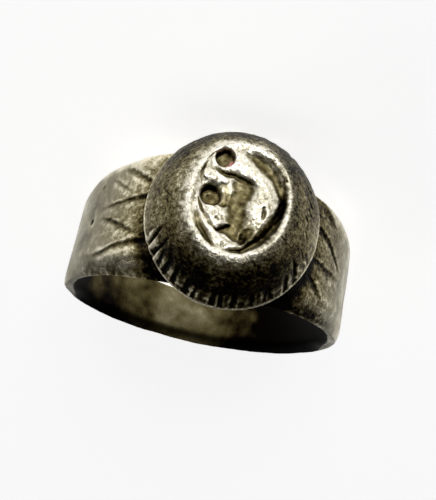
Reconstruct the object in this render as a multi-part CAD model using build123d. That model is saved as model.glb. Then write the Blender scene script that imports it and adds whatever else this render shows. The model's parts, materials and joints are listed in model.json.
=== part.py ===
from build123d import *
import math
import os

# A worn silver seal ring, in millimetres. A band widens from the palm to the shoulders and carries an oval
# domed bezel with a sunk seal in its face. The band and the bezel are soldered into one piece of metal, so the
# ring is one solid.
# It is drawn on its own axes first: Z points out of the bezel's face, Y runs along the finger and X across it,
# from the centre of the finger hole. At the end it is turned to lie on its side, as a ring lies on a table.

# Finger hole and band
bore_radius = 9.5
palm_wall = 0.75
side_wall = 0.8
top_wall = 1.15
palm_width = 4.2
side_width = 6.2
top_width = 9.4
rim_radius = 0.22

# Bezel: an oval button with a thin edge, a convex flank and a rounded lip round the seal
bezel_width = 11.14
bezel_length = 12.28
bezel_gap = 0.6
bezel_edge_thickness = 0.27
flank_height = 2.72
bezel_shift = 0.44
lip_width = 6.5
lip_length = 8.0
lip_radius = 0.2
underside_depth = 0.5
neck_inset = 0.55

# Seal, sunk in the face inside the lip
seal_margin = 0.5
seal_depth = 0.5
drill_radius = 0.63
drill_depth = 0.6

# Chisel notches round the foot of the flank, cut with the corner of a square graver
notch_count = 42
notch_depth = 0.16
notch_graver = 0.5

# Graver strokes on the shoulders
stroke_depth = 0.08
stroke_graver = 0.6

# Each row is one level of the flank: its height as a share of the flank's, and how far it has drawn in from
# the bezel's edge towards the lip, as a share of the whole way.
FLANK = [
    {"height": 0.0, "drawn_in": 0.0},
    {"height": 0.30, "drawn_in": 0.18},
    {"height": 0.58, "drawn_in": 0.40},
    {"height": 0.82, "drawn_in": 0.68},
    {"height": 1.0, "drawn_in": 1.0},
]

# A notch runs up the flank to this share of its height, where the flank has drawn in by this share.
NOTCH_TOP = {"height": 0.42, "drawn_in": 0.27}

# The raised forms of the seal. Points of an outline are shares of the seal's half width and half length from
# its middle, and rise is a share of the seal's depth.
SEAL_FORMS = {
    "crescent": {
        "rise": 0.85,
        "outline": [
            (-0.66, 0.72), (-0.74, 0.90), (-0.30, 1.04), (0.02, 0.93), (0.24, 0.76), (0.55, 0.60), (0.80, 0.36),
            (0.86, 0.10), (0.80, -0.17), (0.62, -0.44), (0.30, -0.66), (0.10, -0.74), (0.06, -0.62),
            (0.18, -0.44), (0.22, -0.18), (0.16, -0.02), (0.32, 0.22), (0.34, 0.38), (0.12, 0.50),
            (-0.20, 0.53), (-0.50, 0.55),
        ],
    },
    "left_lump": {
        "rise": 0.75,
        "outline": [
            (-0.93, 0.22), (-0.86, 0.42), (-0.70, 0.53), (-0.46, 0.46), (-0.26, 0.32), (-0.18, 0.12),
            (-0.28, -0.06), (-0.62, 0.02),
        ],
    },
    "chipped_lump": {
        "rise": 0.6,
        "outline": [
            (-0.72, -0.12), (-0.28, -0.18), (-0.12, -0.36), (-0.16, -0.52), (-0.32, -0.62), (-0.56, -0.46),
        ],
    },
    "inner_ridge": {
        "rise": 0.7,
        "outline": [
            (-0.90, -0.08), (-0.72, -0.38), (-0.46, -0.64), (-0.16, -0.80), (0.10, -0.84), (0.10, -0.98),
            (-0.22, -0.92), (-0.52, -0.76), (-0.78, -0.46), (-0.97, -0.20),
        ],
    },
}

# Heights at which the flare of the band is drawn, as shares of the hoop's width, a little past it at both ends.
FLARE_STATIONS = [-0.6, -0.3, 0.0, 0.3, 0.6]

# Middles of the two drilled pits, as shares of the seal's half width and half length.
DRILLED_PITS = [(-0.46, 0.78), (-0.59, 0.01)]

# Graver strokes on the shoulders. Each end is an angle round the band, in degrees from the bezel's middle,
# and a place across the band as a share of its half width at the top.
SHOULDER_STROKES = [
    {"start": (-41.0, 0.74), "end": (-29.0, 0.48)},
    {"start": (-48.5, 0.61), "end": (-38.0, 0.38)},
    {"start": (-51.0, 0.18), "end": (-29.0, 0.28)},
    {"start": (-51.0, 0.01), "end": (-34.0, -0.27)},
    {"start": (-51.0, -0.56), "end": (-32.0, -0.44)},
    {"start": (35.0, 0.88), "end": (49.5, 0.66)},
    {"start": (40.0, 0.45), "end": (57.0, 0.07)},
    {"start": (40.0, -0.08), "end": (57.0, -0.05)},
    {"start": (37.0, -0.34), "end": (47.0, -0.56)},
]

# Sizes and places that follow from those above
band_side = bore_radius + side_wall
band_top = bore_radius + top_wall
band_palm = bore_radius + palm_wall
edge_under = band_top + bezel_gap
edge_over = edge_under + bezel_edge_thickness
face_height = edge_over + flank_height
seal_half_width = lip_width / 2 - seal_margin
seal_half_length = lip_length / 2 - seal_margin


def band_half_width(height):
    """The band's half width at this height, a parabola through those at the palm, the side and the top."""
    low, high = -band_palm, band_top
    palm = palm_width / 2 * height * (height - high) / (low * (low - high))
    side = side_width / 2 * (height - low) * (height - high) / (low * high)
    top = top_width / 2 * height * (height - low) / (high * (high - low))
    return palm + side + top


def make_band():
    """A round hoop, thicker at the top, cut to a side outline that widens from the palm to the bezel."""
    over = EllipticalCenterArc((0, 0), band_side, band_top, start_angle=0, arc_size=180)
    under = EllipticalCenterArc((0, 0), band_side, band_palm, start_angle=180, arc_size=180)
    section = Plane.XZ.offset(top_width) * make_face(over + under)
    hoop = extrude(section, 2 * top_width, dir=(0, 1, 0))
    hoop -= Rot(90, 0, 0) * Cylinder(bore_radius, 3 * top_width)

    heights = [station * 2 * band_side for station in FLARE_STATIONS]
    right = Spline(*[(band_half_width(height), height) for height in heights])
    left = Spline(*[(-band_half_width(height), height) for height in reversed(heights)])
    outline = Curve() + [right, Line(right @ 1, left @ 0), left, Line(left @ 1, right @ 0)]
    side_view = Plane.YZ.offset(-2 * band_side) * make_face(outline)
    hoop &= extrude(side_view, 4 * band_side, dir=(1, 0, 0))

    rims = hoop.edges().filter_by(GeomType.LINE, reverse=True)
    return fillet(rims, rim_radius)


def oval(half_width, half_length, height):
    """A flat oval of the bezel's plan at this height above the finger hole's centre."""
    return Pos(bezel_shift, 0, height) * Ellipse(half_width, half_length)


def flank_point(angle, level):
    """The point of the flank at this angle round the bezel and at this level of its profile."""
    drawn_in = level["drawn_in"]
    half_width = bezel_width / 2 + drawn_in * (lip_width - bezel_width) / 2
    half_length = bezel_length / 2 + drawn_in * (lip_length - bezel_length) / 2
    height = edge_over + level["height"] * flank_height
    return Vector(bezel_shift + half_width * math.cos(angle), half_length * math.sin(angle), height)


def groove(start, end, outward, graver):
    """A square bar laid corner down, whose lowest corner runs from start to end."""
    along = end - start
    outward = (outward - along * (outward.dot(along) / along.dot(along))).normalized()
    middle = (start + end) / 2 + outward * (graver / math.sqrt(2))
    bar = Rot(45, 0, 0) * Box(along.length, graver, graver)
    return Plane(origin=middle, x_dir=along, z_dir=outward).location * bar


def make_bezel():
    """The button: a shallow underside, a thin edge, a convex flank with notches, and a rounded lip."""
    half_width, half_length = bezel_width / 2, bezel_length / 2
    edge = extrude(oval(half_width, half_length, edge_under), bezel_edge_thickness)
    neck_width = half_width - neck_inset
    neck_length = top_width / 2 - neck_inset
    underside = loft([
        oval(neck_width, neck_length, edge_under - underside_depth),
        oval(half_width, half_length, edge_under),
    ])
    levels = []
    for level in FLANK:
        side = flank_point(0, level)
        end = flank_point(math.pi / 2, level)
        levels.append(oval(side.X - bezel_shift, end.Y, side.Z))
    dome = loft(levels)
    face = dome.faces().sort_by(Axis.Z)[-1]
    dome = fillet(face.edges(), lip_radius)
    neck = extrude(oval(neck_width - underside_depth, neck_length - underside_depth, 0), edge_under)
    bezel = edge + underside + dome + neck

    notches = []
    for index in range(notch_count):
        angle = 2 * math.pi * index / notch_count
        outward = flank_point(angle, FLANK[0]) - flank_point(angle, FLANK[-1])
        level_out = Vector(outward.X, outward.Y, 0).normalized()
        foot = flank_point(angle, FLANK[0]) - level_out * notch_depth
        top = flank_point(angle, NOTCH_TOP)
        notches.append(groove(foot, top, level_out, notch_graver))
    return bezel - notches


def make_seal():
    """The hollow in the face, less the forms that stand up in it, as the shape to cut away."""
    floor = face_height - seal_depth
    hollow = extrude(oval(seal_half_width, seal_half_length, floor), 2 * seal_depth)
    for form in SEAL_FORMS.values():
        points = [(across * seal_half_width, along * seal_half_length) for across, along in form["outline"]]
        plan = Pos(bezel_shift, 0, floor) * make_face(Spline(*points, periodic=True))
        hollow -= extrude(plan, form["rise"] * seal_depth)
    for across, along in DRILLED_PITS:
        place = Pos(bezel_shift + across * seal_half_width, along * seal_half_length, face_height)
        hollow += place * Cylinder(drill_radius, 2 * drill_depth)
    return hollow


def shoulder_point(place):
    """The point on the band's outside at an angle from the bezel and a share of the top's half width."""
    angle = math.radians(place[0])
    across = place[1] * top_width / 2
    return Vector(band_side * math.sin(angle), across, band_top * math.cos(angle))


def make_strokes():
    """The graver's grooves on the two shoulders, each cut a little below the band's outside at its ends."""
    strokes = []
    for stroke in SHOULDER_STROKES:
        start, end = shoulder_point(stroke["start"]), shoulder_point(stroke["end"])
        outward = Vector(start.X + end.X, 0, start.Z + end.Z).normalized()
        sunk = outward * stroke_depth
        strokes.append(groove(start - sunk, end - sunk, outward, stroke_graver))
    return strokes


def lay_down(ring):
    """Turns the ring onto its side, resting on the bezel's edge and the palm's rim, over the origin."""
    rise = bezel_length / 2 - palm_width / 2
    run = edge_under + band_palm - rim_radius
    resting_angle = math.degrees(math.atan2(rise, run))
    ring = Rot(-resting_angle, 0, 0) * Rot(0, 180, 0) * Rot(90, 0, 0) * ring
    box = ring.bounding_box()
    return Pos(-box.center().X, -box.center().Y, -box.min.Z) * ring


ring = make_band() + make_bezel() - Rot(90, 0, 0) * Cylinder(bore_radius, 2 * bezel_length)
ring -= make_seal()
ring -= make_strokes()
ring = lay_down(ring)

os.makedirs("parts", exist_ok=True)
export_step(ring, "parts/ring.step")
box = ring.bounding_box()
print("ring", len(ring.solids()), "solid,", round(ring.volume, 1), "cubic mm")
print("box", [round(v, 2) for v in box.min], [round(v, 2) for v in box.max])
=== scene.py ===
import json
import math

import bmesh
import bpy
import numpy as np
from mathutils import Matrix, Vector, noise


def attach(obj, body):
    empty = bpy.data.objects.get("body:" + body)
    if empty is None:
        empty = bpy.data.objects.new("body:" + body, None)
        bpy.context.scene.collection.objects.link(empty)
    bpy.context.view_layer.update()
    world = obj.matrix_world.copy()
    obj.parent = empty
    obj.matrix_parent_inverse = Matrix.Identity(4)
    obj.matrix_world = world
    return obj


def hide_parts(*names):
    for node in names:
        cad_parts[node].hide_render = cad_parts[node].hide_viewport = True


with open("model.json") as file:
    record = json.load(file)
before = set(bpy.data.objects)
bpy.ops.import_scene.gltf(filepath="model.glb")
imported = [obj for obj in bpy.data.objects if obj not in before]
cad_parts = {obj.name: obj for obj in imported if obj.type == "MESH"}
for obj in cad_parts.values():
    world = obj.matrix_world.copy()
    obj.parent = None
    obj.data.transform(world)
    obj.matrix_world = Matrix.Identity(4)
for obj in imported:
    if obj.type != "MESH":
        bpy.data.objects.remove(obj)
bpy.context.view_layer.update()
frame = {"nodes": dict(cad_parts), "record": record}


# Band
# A strip of silver bent into a hoop, 4 mm wide at the palm and over 9 mm under the bezel, and thicker at the
# top. It is shaped on the ring's own axes, in millimetres from the middle of the finger hole: Z out of the
# bezel's face, Y along the finger and X across it. Wear has rounded and thinned its rims unevenly.
hole = frame["record"]["mounts"][0]
along_finger = -Vector(hole["axis"])
across_finger = Vector((-1, 0, 0))
out_of_face = across_finger.cross(along_finger)
turn = Matrix((across_finger, along_finger, out_of_face)).transposed().to_4x4()
ring_to_part = Matrix.Translation(hole["pos_m"]) @ turn @ Matrix.Scale(0.001, 4)
part_to_ring = ring_to_part.inverted()
solid = np.array([part_to_ring @ v.co for v in frame["nodes"]["ring"].data.vertices])

# The hoop's radii, and its half widths at the palm, the side and the top
BORE = hole["dims"]["r_mm"]
BAND_SIDE = abs(solid[:, 0]).max()
BAND_PALM = -solid[:, 2].min()
TOP_WALL = 1.15
BAND_TOP = BORE + TOP_WALL
PALM_HALF_WIDTH = 2.1
SIDE_HALF_WIDTH = 3.1
TOP_HALF_WIDTH = 4.7

# The even strip that is spun into a hoop. Its steps crowd together at the shoulders, where the strokes are.
STRIP_HALF_WIDTH = 3.0
STRIP_WALL = 0.9
RIM_ROUND = 0.1
RIM_SEGMENTS = 4
INSIDE_CUTS = 19
OUTSIDE_CUTS = 89
BAND_STEPS = 330
SHOULDER_ANGLE = 44
SHOULDER_SPREAD = 16
CROWDING = 2.0
CLOSE = 0.001

# Wear: how far in from each rim it reaches, how far down it goes at the back, and the wall left at the front
FRONT_WEAR = 1.8
BACK_WEAR = 0.5
BACK_DROP = 0.1
THIN_RIM = 0.16
FLARE = 0.8

# How far the front rim leans out and the back rim draws in at the palm, and where the back rim swells: the
# angle round the band and the spread in degrees, and the swell
FRONT_LEAN = 0.12
PALM_DRAW = 0.12
BACK_SWELLS = [(45, 15, 0.15), (-30, 12, 0.1)]

# Waves along the rims: how many go round, their height, and the shift between the two rims in radians
RIM_WAVES = [(5, 0.03, 1.3), (13, 0.02, 1.0)]


def reshape(bm, place):
    """Puts every vertex where place, a function from an array of points to another, says."""
    points = place(np.array([vert.co for vert in bm.verts]))
    for vert, point in zip(bm.verts, points):
        vert.co = point


def ease(value, low, high):
    """0 up to low, 1 from high on, and a smooth step between them."""
    share = np.clip((value - low) / (high - low), 0, 1)
    return share * share * (3 - 2 * share)


def band_half_width(z):
    """Half the band's width at height z: a parabola through those at the palm, the side and the top."""
    low, high = -BAND_PALM, BAND_TOP
    palm = PALM_HALF_WIDTH * z * (z - high) / (low * (low - high))
    side = SIDE_HALF_WIDTH * (z - low) * (z - high) / (low * high)
    top = TOP_HALF_WIDTH * z * (z - low) / (high * (high - low))
    return palm + side + top


def band_outside(angle):
    """The radius of the band's outside at an angle from the bezel: half an oval over, another under."""
    upright = np.where(np.cos(angle) > 0, BAND_TOP, BAND_PALM)
    return 1 / np.hypot(np.sin(angle) / BAND_SIDE, np.cos(angle) / upright)


def crowd_at_shoulders(angle):
    """Moves the steps round the band together at the two shoulders, where the graver's strokes are."""
    around = np.radians(np.linspace(-180, 180, 1441))
    away = (abs(np.degrees(around)) - SHOULDER_ANGLE) / SHOULDER_SPREAD
    steps = np.cumsum(1 + CROWDING * np.exp(-away**2))
    steps = (steps - steps[0]) / (steps[-1] - steps[0])
    return np.interp((angle + math.pi) / (2 * math.pi), steps, around)


def bend_band(points):
    """Turns the even hoop made by the spin into the band's real widths, walls and lean."""
    x, y, z = points.T
    angle = crowd_at_shoulders(np.arctan2(x, z))
    wall = band_outside(angle) - BORE
    depth_in = BORE + STRIP_WALL - np.hypot(x, z)
    from_inside = depth_in > STRIP_WALL / 2
    radius = np.where(from_inside, BORE + STRIP_WALL - depth_in, band_outside(angle) - depth_in)
    half = band_half_width(radius * np.cos(angle))
    flat = STRIP_HALF_WIDTH - RIM_ROUND
    in_rim = np.sign(y) * (half - STRIP_HALF_WIDTH + abs(y))
    across = np.where(abs(y) > flat, in_rim, y * (half - RIM_ROUND) / flat)

    # Both rims are worn down, and the front one is thinned towards the bore beside the bezel
    thinned = (y < 0) * ease(np.cos(angle), 0, 0.5)
    wear = BACK_WEAR + (FRONT_WEAR - BACK_WEAR) * thinned
    worn = np.clip(1 - (half - abs(across)) / wear, 0, 1)
    drop = BACK_DROP + (wall - THIN_RIM - BACK_DROP) * thinned
    above = np.clip((radius - BORE) / wall, 0, 1)
    radius = radius - drop * worn**2 * above

    # At the palm the bore opens out to the front rim instead
    flare = (wall - THIN_RIM) * (y < 0) * ease(-np.cos(angle), 0.05, 0.4)
    radius = radius + flare * np.clip(1 - (half - abs(across)) / FLARE, 0, 1) ** 2 * (1 - above)

    # The rims lean and swell unevenly, and wander a little all round but for the palm
    swell = sum(out * np.exp(-((np.degrees(angle) - at) / spread) ** 2) for at, spread, out in BACK_SWELLS)
    back_lean = swell - PALM_DRAW * ease(-np.cos(angle), 0.3, 0.9)
    lean = np.where(y < 0, FRONT_LEAN * ease(np.cos(angle), -0.2, 0.5), back_lean)
    lean = lean * abs(across) / half
    wavy = sum(height * np.sin(count * angle + shift * np.sign(y)) for count, height, shift in RIM_WAVES)
    across = across + lean + ease(abs(y), 1.5, 3.0) * wavy * ease(np.cos(angle), -0.9, -0.4)
    return np.stack([radius * np.sin(angle), across, radius * np.cos(angle)], 1)


band = bmesh.new()
bmesh.ops.create_grid(band, x_segments=1, y_segments=1, size=0.5)
bmesh.ops.scale(band, verts=band.verts, vec=(STRIP_WALL, 2 * STRIP_HALF_WIDTH, 1))
bmesh.ops.translate(band, verts=band.verts, vec=(BORE + STRIP_WALL / 2, 0, 0))
bmesh.ops.bevel(
    band, geom=band.verts[:], offset=RIM_ROUND, segments=RIM_SEGMENTS, profile=0.5, affect="VERTICES",
    material=-1
)
bmesh.ops.delete(band, geom=band.faces[:], context="FACES_ONLY")
for radius, cuts in ((BORE, INSIDE_CUTS), (BORE + STRIP_WALL, OUTSIDE_CUTS)):
    side = [e for e in band.edges if all(abs(v.co.x - radius) < CLOSE for v in e.verts)]
    bmesh.ops.subdivide_edges(band, edges=side, cuts=cuts)
rims = [e for e in band.edges if all(abs(v.co.y) > STRIP_HALF_WIDTH - CLOSE for v in e.verts)]
bmesh.ops.subdivide_edges(band, edges=rims, cuts=2)
bmesh.ops.spin(
    band, geom=band.verts[:] + band.edges[:], cent=(0, 0, 0), axis=(0, 1, 0), dvec=(0, 0, 0),
    angle=2 * math.pi, steps=BAND_STEPS, use_merge=True
)
bmesh.ops.remove_doubles(band, verts=band.verts[:], dist=CLOSE / 2)
reshape(band, bend_band)
bmesh.ops.recalc_face_normals(band, faces=band.faces[:])


# Strokes on the shoulders
# Each shoulder carries a fan of strokes cut with a graver, pointing away from the bezel, with a few pits and
# nicks from wear. A stroke has a steep upper wall and a long lower one, and fades out at both ends. Each row
# gives the angle round the band in degrees, then the place along the finger, half width and depth in mm.
STROKES = [
    # The left shoulder, from the top down
    [
        (-43, 3.62, 0.1, 0.02), (-40, 3.4, 0.26, 0.1), (-35, 2.85, 0.3, 0.14), (-30, 2.32, 0.28, 0.12),
        (-27, 2.0, 0.2, 0.06),
    ],
    [
        (-50, 3.0, 0.1, 0.01), (-46, 2.62, 0.2, 0.06), (-42, 2.15, 0.22, 0.07), (-39, 1.85, 0.15, 0.04),
        (-37, 1.7, 0.1, 0.01),
    ],
    [
        (-52, 0.8, 0.1, 0.01), (-46, 0.9, 0.16, 0.06), (-38, 1.05, 0.18, 0.08), (-32, 1.25, 0.26, 0.1),
        (-27, 1.35, 0.26, 0.1),
    ],
    [
        (-52, 0.1, 0.1, 0.01), (-47, -0.2, 0.22, 0.08), (-41, -0.72, 0.28, 0.12), (-35, -1.2, 0.26, 0.1),
        (-31, -1.5, 0.1, 0.02),
    ],
    [
        (-52, -2.75, 0.1, 0.01), (-46, -2.62, 0.18, 0.06), (-40, -2.3, 0.26, 0.1), (-34, -2.12, 0.26, 0.1),
        (-27, -2.0, 0.2, 0.08),
    ],
    # The right shoulder, from the top down
    [
        (33, 4.4, 0.4, 0.12), (38, 4.1, 0.46, 0.15), (42, 3.8, 0.46, 0.18), (46, 3.42, 0.34, 0.15),
        (50, 3.05, 0.12, 0.02),
    ],
    [(36, 3.15, 0.14, 0.03), (42, 3.12, 0.18, 0.06), (47, 3.05, 0.16, 0.05), (49, 3.0, 0.1, 0.01)],
    [
        (36, 2.25, 0.26, 0.08), (41, 2.02, 0.3, 0.1), (46, 1.68, 0.28, 0.11), (51, 1.05, 0.24, 0.1),
        (56, 0.42, 0.16, 0.06), (58, 0.2, 0.1, 0.01),
    ],
    [
        (36, -0.15, 0.22, 0.05), (42, -0.32, 0.3, 0.09), (48, -0.42, 0.3, 0.1), (54, -0.38, 0.2, 0.05),
        (57, -0.3, 0.1, 0.01),
    ],
    [
        (36, -1.5, 0.16, 0.03), (39, -1.8, 0.3, 0.08), (42, -2.2, 0.32, 0.1), (45, -2.6, 0.26, 0.07),
        (46, -2.75, 0.12, 0.02),
    ],
]

# How much wider a stroke's lower wall is than its upper one
LOWER_WALL = 2.6

# Pits and nicks, by the angle round the band in degrees and the place along the finger
PITS = [
    {"place": (-58.5, 0.05), "radius": 0.34, "depth": 0.15},
    {"place": (-56.0, 2.7), "radius": 0.3, "depth": 0.05},
    {"place": (-69.0, 1.0), "radius": 0.35, "depth": 0.03},
    {"place": (-72.0, -1.0), "radius": 0.35, "depth": 0.03},
    {"place": (-106.0, 1.5), "radius": 0.3, "depth": 0.06},
    {"place": (49.5, -3.4), "radius": 0.2, "depth": 0.06},
    {"place": (70.0, -1.15), "radius": 0.32, "depth": 0.04},
    {"place": (101.0, 1.2), "radius": 0.28, "depth": 0.05},
    {"place": (160.0, -0.6), "radius": 0.35, "depth": 0.05},
]

# The rough line along the front rim: how far in from the rim it lies, how wide and how deep it is
FRAYED_PLACE = 0.3
FRAYED_SPREAD = 0.16
FRAYED_DEPTH = 0.07

# The hand's tremble in the strokes, in layers: how far it goes, the size of its waves, and the seed
TREMBLE = [(0.06, 0.5, 6), (0.05, 0.2, 10)]
SEED_STEPS = (7.31, 3.17, 5.53)


def rough(points, size, seed):
    """Smooth noise from about -1 to 1 at each point, with waves about size millimetres long."""
    offset = Vector([seed * step for step in SEED_STEPS])
    return np.array([noise.noise(Vector(point) / size + offset) for point in points])


def layered(points, layers):
    """Layers of rough added up, each given by its height, the size of its waves and its seed."""
    return sum(height * rough(points, size, seed) for height, size, seed in layers)


def from_front_rim(y, z):
    """How far in from the band's front rim a point of its outside lies."""
    return y + band_half_width(z) - FRONT_LEAN


def across_path(places, path, lower=1.0):
    """How far in towards a path's middle line each place is, from 0 to 1, and the path's depth there.

    Each row of the path holds a place, the half width and the depth. lower widens the side towards -Y.
    """
    share, depth = np.zeros(len(places)), np.zeros(len(places))
    for start, end in zip(path[:-1], path[1:]):
        run = end[:2] - start[:2]
        along = np.clip((places - start[:2]) @ run / (run @ run), 0, 1)
        here = start + along[:, None] * (end - start)
        away = places - here[:, :2]
        away[:, 1] = np.where(away[:, 1] < 0, away[:, 1] / lower, away[:, 1])
        inside = 1 - np.linalg.norm(away, axis=1) / here[:, 2]
        depth = np.where(inside > share, here[:, 3], depth)
        share = np.maximum(share, inside)
    return share, depth


def cut_strokes(points):
    """Presses the strokes, pits and a rough line along the front rims into the band's outside."""
    x, y, z = points.T
    angle = np.arctan2(x, z)
    outside = ease(np.hypot(x, z) - BORE, 0.35, 0.6)
    surface = np.stack([angle * BAND_SIDE, y], 1) + layered(points, TREMBLE)[:, None]
    down = np.zeros(len(points))
    for stroke in STROKES:
        path = np.array([(math.radians(around) * BAND_SIDE, *rest) for around, *rest in stroke])
        share, depth = across_path(surface, path, LOWER_WALL)
        down = np.maximum(down, depth * ease(share, 0, 1))
    for pit in PITS:
        around, across = pit["place"]
        gap = np.hypot(surface[:, 0] - math.radians(around) * BAND_SIDE, y - across)
        down = np.maximum(down, pit["depth"] * (1 - ease(gap, 0, pit["radius"])))
    frayed = np.exp(-((from_front_rim(y, z) - FRAYED_PLACE) / FRAYED_SPREAD) ** 2) * ease(z, 5.8, 7.2)
    ragged = np.clip(0.2 + rough(points, 0.4, 3) * 2 + rough(points, 0.2, 14), 0, 1)
    down = down + frayed * FRAYED_DEPTH * ragged
    points[:, 0] -= np.sin(angle) * down * outside
    points[:, 2] -= np.cos(angle) * down * outside
    return points


reshape(band, cut_strokes)


# Bezel
# An oval button of silver with a thin edge that stands out over the shoulders, a convex flank and a rounded
# lip worn bright round the seal. It was cast in one with its low neck and soldered to the top of the band.
BEZEL_SHIFT = 0.44
LIP_SHIFT = -0.14
EDGE_HALF_WIDTH = 5.57
EDGE_HALF_LENGTH = abs(solid[:, 1]).max()
EDGE_UNDER = BAND_TOP + 0.6
EDGE_OVER = EDGE_UNDER + 0.27
LIP_TOP = solid[:, 2].max()
NECK_HALF_WIDTH = 4.6
NECK_HALF_LENGTH = 3.7
NECK_SUNK_IN_BAND = 0.3

# The edge's bulge as a share of its half widths, and how sharply the underside curves in to the neck
EDGE_BULGE = 0.006
NECK_CURVE = 2.5
UNDERSIDE_CURVE = 1.6

# The button is drawn as rings of faces: down the flank from the lip, round the edge, in under it to the neck,
# and across the neck's foot
FACE_CELLS = 136
FLANK_RINGS = 42
EDGE_RINGS = 5
NECK_RINGS = 9
FOOT_RINGS = 5
EDGE_END = FLANK_RINGS + EDGE_RINGS
NECK_END = EDGE_END + NECK_RINGS
FOOT_END = NECK_END + FOOT_RINGS
RING_STEP = 0.05

# How far the flank has drawn in from the edge to the lip at each share of its height
FLANK = [
    (0, 0), (0.12, 0.055), (0.3, 0.16), (0.55, 0.37), (0.78, 0.62), (0.92, 0.83), (0.985, 0.94), (1.0, 1.0),
]

# The top of the lip, by its places across and along the finger from the bezel's middle
LIP = [
    (3.18, 0.0), (3.12, 1.0), (2.78, 2.25), (2.1, 3.15), (1.2, 3.72), (0.0, 3.95), (-1.0, 3.82),
    (-1.95, 3.2), (-2.55, 2.25), (-2.9, 1.2), (-3.0, 0.2), (-2.92, -0.8), (-2.6, -1.8), (-2.05, -2.7),
    (-1.2, -3.35), (0.0, -3.62), (1.0, -3.42), (2.0, -2.82), (2.7, -2.0), (3.05, -1.0),
]

# Both curves are averaged over these shifts, along the flank's profile and in radians round the lip
PROFILE_SHIFTS = (-0.06, -0.03, 0, 0.03, 0.06)
LIP_SHIFTS = (-0.16, -0.08, 0, 0.08, 0.16)


def round_the_grid(points):
    """Maps the square grid of the face to a flat round disc of radius 1."""
    x, y, z = points.T
    return np.stack([x * np.sqrt(1 - y * y / 2), y * np.sqrt(1 - x * x / 2), z], 1)


def lip_radius(angle):
    """The distance of the lip's top from the bezel's middle at an angle round it."""
    table = np.array(LIP + LIP[:1])
    around = np.unwrap(np.arctan2(table[:, 1], table[:, 0]))
    turns = np.concatenate([around[:-1] - 2 * math.pi, around[:-1], around[:-1] + 2 * math.pi])
    spans = np.tile(np.hypot(*table[:-1].T), 3)
    return np.mean([np.interp(angle + shift, turns, spans) for shift in LIP_SHIFTS], axis=0)


def neck_foot(x):
    """The height at x where the neck ends, a little under the band's outside."""
    return np.sqrt(BAND_TOP**2 - (x * BAND_TOP / BAND_SIDE) ** 2) - NECK_SUNK_IN_BAND


def shape_bezel(flat):
    """Turns the flat disc into the button: the face inside radius 1, then each ring by its number."""
    radius = np.hypot(flat[:, 0], flat[:, 1])
    angle = np.arctan2(flat[:, 1], flat[:, 0])
    ring = np.clip(np.round((radius - 1) / RING_STEP), 0, None)
    lip = lip_radius(angle)
    lip_x, lip_y = lip * np.cos(angle), lip * np.sin(angle)
    edge_angle = np.arctan2(lip_y / EDGE_HALF_LENGTH, lip_x / EDGE_HALF_WIDTH)
    edge_x, edge_y = EDGE_HALF_WIDTH * np.cos(edge_angle), EDGE_HALF_LENGTH * np.sin(edge_angle)
    neck_x, neck_y = NECK_HALF_WIDTH * np.cos(edge_angle), NECK_HALF_LENGTH * np.sin(edge_angle)

    # The flank, from the lip down to the edge
    table = np.array(FLANK)
    length = np.concatenate([[0], np.cumsum(np.hypot(np.diff(table[:, 0]), np.diff(table[:, 1])))])
    up_flank = (1 - np.clip(ring / FLANK_RINGS, 0, 1)) * length[-1]
    steps = [np.clip(up_flank + shift * length[-1], 0, length[-1]) for shift in PROFILE_SHIFTS]
    height = np.mean([np.interp(step, length, table[:, 0]) for step in steps], axis=0)
    drawn_in = np.mean([np.interp(step, length, table[:, 1]) for step in steps], axis=0)
    height = (height - height.min()) / (height.max() - height.min())
    x = edge_x + (lip_x - edge_x) * drawn_in
    y = edge_y + (lip_y + LIP_SHIFT - edge_y) * drawn_in
    z = EDGE_OVER + (LIP_TOP - EDGE_OVER) * height

    # Round the thin edge
    on_edge = ring > FLANK_RINGS
    round_edge = np.clip((ring - FLANK_RINGS) / EDGE_RINGS, 0, 1)
    out = 1 + EDGE_BULGE * np.sin(math.pi * round_edge)
    x = np.where(on_edge, edge_x * out, x)
    y = np.where(on_edge, edge_y * out, y)
    z = np.where(on_edge, EDGE_OVER + (EDGE_UNDER - EDGE_OVER) * round_edge, z)

    # The underside, in to the neck and down it
    under = ring > EDGE_END
    up_neck = np.clip(1 - (ring - EDGE_END) / NECK_RINGS, 0, 1)
    up_from_foot = (EDGE_UNDER - neck_foot(neck_x)) * (1 - (1 - up_neck) ** UNDERSIDE_CURVE)
    x = np.where(under, neck_x + (edge_x - neck_x) * up_neck**NECK_CURVE, x)
    y = np.where(under, neck_y + (edge_y - neck_y) * up_neck**NECK_CURVE, y)
    z = np.where(under, neck_foot(neck_x) + up_from_foot, z)

    # The neck's foot, closed inside the band, and the face
    foot = ring > NECK_END
    closed = np.clip(1 - (ring - NECK_END) / (FOOT_RINGS + 0.1), 0, 1)
    x = np.where(foot, neck_x * closed, x)
    y = np.where(foot, neck_y * closed, y)
    z = np.where(foot, neck_foot(x), z)
    on_face = ring < 1
    x = np.where(on_face, lip_x * np.clip(radius, 0, 1), x)
    y = np.where(on_face, lip_y * np.clip(radius, 0, 1) + LIP_SHIFT, y)
    return np.stack([x + BEZEL_SHIFT, y, z], 1)


bezel = bmesh.new()
bmesh.ops.create_grid(bezel, x_segments=FACE_CELLS, y_segments=FACE_CELLS, size=1)
reshape(bezel, round_the_grid)
loop = [e for e in bezel.edges if e.is_boundary]
for index in range(FOOT_END):
    grown = bmesh.ops.extrude_edge_only(bezel, edges=loop)["geom"]
    loop = [part for part in grown if isinstance(part, bmesh.types.BMEdge) and part.is_boundary]
    outer = [part for part in grown if isinstance(part, bmesh.types.BMVert)]
    wider = (1 + (index + 1) * RING_STEP) / (1 + index * RING_STEP)
    bmesh.ops.scale(bezel, verts=outer, vec=(wider, wider, 1))
bmesh.ops.holes_fill(bezel, edges=loop, sides=0)
bezel_flat = np.array([vert.co for vert in bezel.verts])
reshape(bezel, shape_bezel)
bmesh.ops.recalc_face_normals(bezel, faces=bezel.faces[:])


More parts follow.
